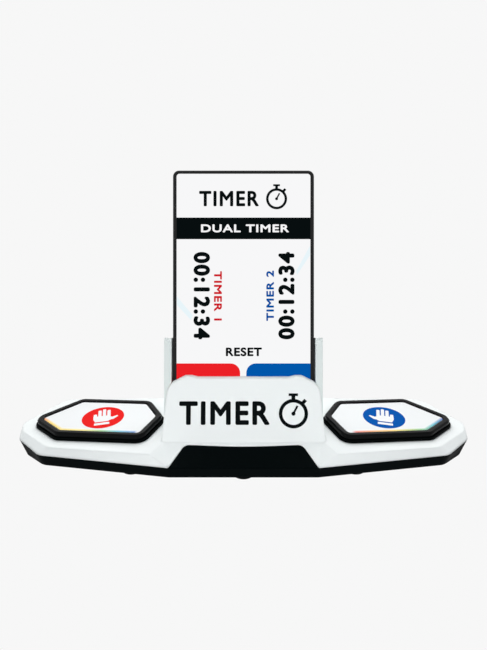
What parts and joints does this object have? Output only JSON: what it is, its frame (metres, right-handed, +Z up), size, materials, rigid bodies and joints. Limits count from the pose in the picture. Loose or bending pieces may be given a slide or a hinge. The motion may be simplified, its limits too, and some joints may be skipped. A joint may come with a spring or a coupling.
{
  "type": "speed cube timer",
  "caption": "Speed cube timer with a white swept housing, a hexagonal hand pad on each wing and an upright screen in a tower.",
  "frame": {"origin": "middle of the footprint, on the plane the rubber feet rest on", "axes": "+X to the right along the wings, +Y to the back, +Z up"},
  "size_m": [0.2464, 0.0815, 0.1439],
  "materials": {
    "shell_white": "satin",
    "rest_grey": "satin",
    "insert_white": "satin",
    "shell_black": "gloss",
    "collar_black": "satin",
    "bezel_gloss_black": "gloss",
    "carrier_plastic": "moulded",
    "spring_steel": "drawn wire",
    "contact_brass": "stamped",
    "wire_jacket": "extruded",
    "contact_foam": "soft",
    "soft_rubber": "moulded",
    "screw_steel": "plain",
    "device_frame": "satin",
    "device_glass": "polished",
    "device_display": "flat",
    "device_back": "satin"
  },
  "bodies": {
    "body": {"lower_case": "shell_black", "upper_case": "shell_white", "phone_rest": "rest_grey", "slot_cushion": "soft_rubber", "pad_collar_left": "collar_black", "pad_collar_right": "collar_black", "pad_spring_left": "spring_steel", "pad_spring_right": "spring_steel", "touch_plate_left": "contact_brass", "touch_plate_right": "contact_brass", "lead_wire_left": "wire_jacket", "lead_wire_right": "wire_jacket", "contact_pad_left": "contact_foam", "contact_pad_right": "contact_foam", "contact_bracket": "carrier_plastic", "case_screws": "screw_steel", "rest_screws": "screw_steel", "bracket_screws": "screw_steel", "rubber_feet": "soft_rubber"},
    "pad_left": {"pad_insert_left": "insert_white", "pad_bezel_left": "bezel_gloss_black", "pad_carrier_left": "carrier_plastic"},
    "pad_right": {"pad_insert_right": "insert_white", "pad_bezel_right": "bezel_gloss_black", "pad_carrier_right": "carrier_plastic"},
    "phone": {"phone_frame": "device_frame", "phone_glass": "device_glass", "phone_display": "device_display", "phone_back": "device_back", "phone_camera": "device_glass"}
  },
  "joints": [
    {"name": "pad_left_press", "type": "slide", "parent": "body", "child": "pad_left", "axis": [0.024, 0, -0.9997], "range_m": [0, 0.0015], "stiffness_N_per_m": 600, "springref_m": -0.001, "deforming": ["pad_spring_left"]},
    {"name": "pad_right_press", "type": "slide", "parent": "body", "child": "pad_right", "axis": [-0.024, 0, -0.9997], "range_m": [0, 0.0015], "stiffness_N_per_m": 600, "springref_m": -0.001, "deforming": ["pad_spring_right"]},
    {"name": "phone_lift", "type": "slide", "parent": "body", "child": "phone", "axis": [0, 0.3584, 0.9336], "range_m": [0, 0.06]}
  ]
}
